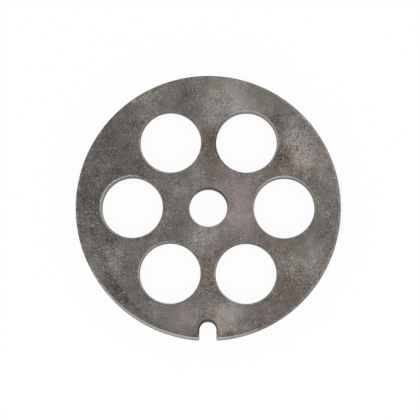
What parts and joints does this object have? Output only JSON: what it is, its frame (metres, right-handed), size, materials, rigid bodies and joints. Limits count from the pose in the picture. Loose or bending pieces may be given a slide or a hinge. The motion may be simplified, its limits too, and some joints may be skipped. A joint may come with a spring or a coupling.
{
  "type": "meat grinder plate",
  "caption": "Flat round steel plate for a meat grinder, with a centre bore, a ring of large round holes and a round-ended key notch in its rim.",
  "frame": {"origin": "on the axis of the centre bore, in the plane of the back face that the plate lies on", "axes": "+Z along the bore, out of the knife face; the key notch opens towards -Y"},
  "size_m": [0.07, 0.0699, 0.005],
  "materials": {
    "steel": "worn, matt grey steel with mottled stains and bright worn edges"
  },
  "bodies": {
    "root": {"grinder_plate": "steel"}
  },
  "joints": []
}
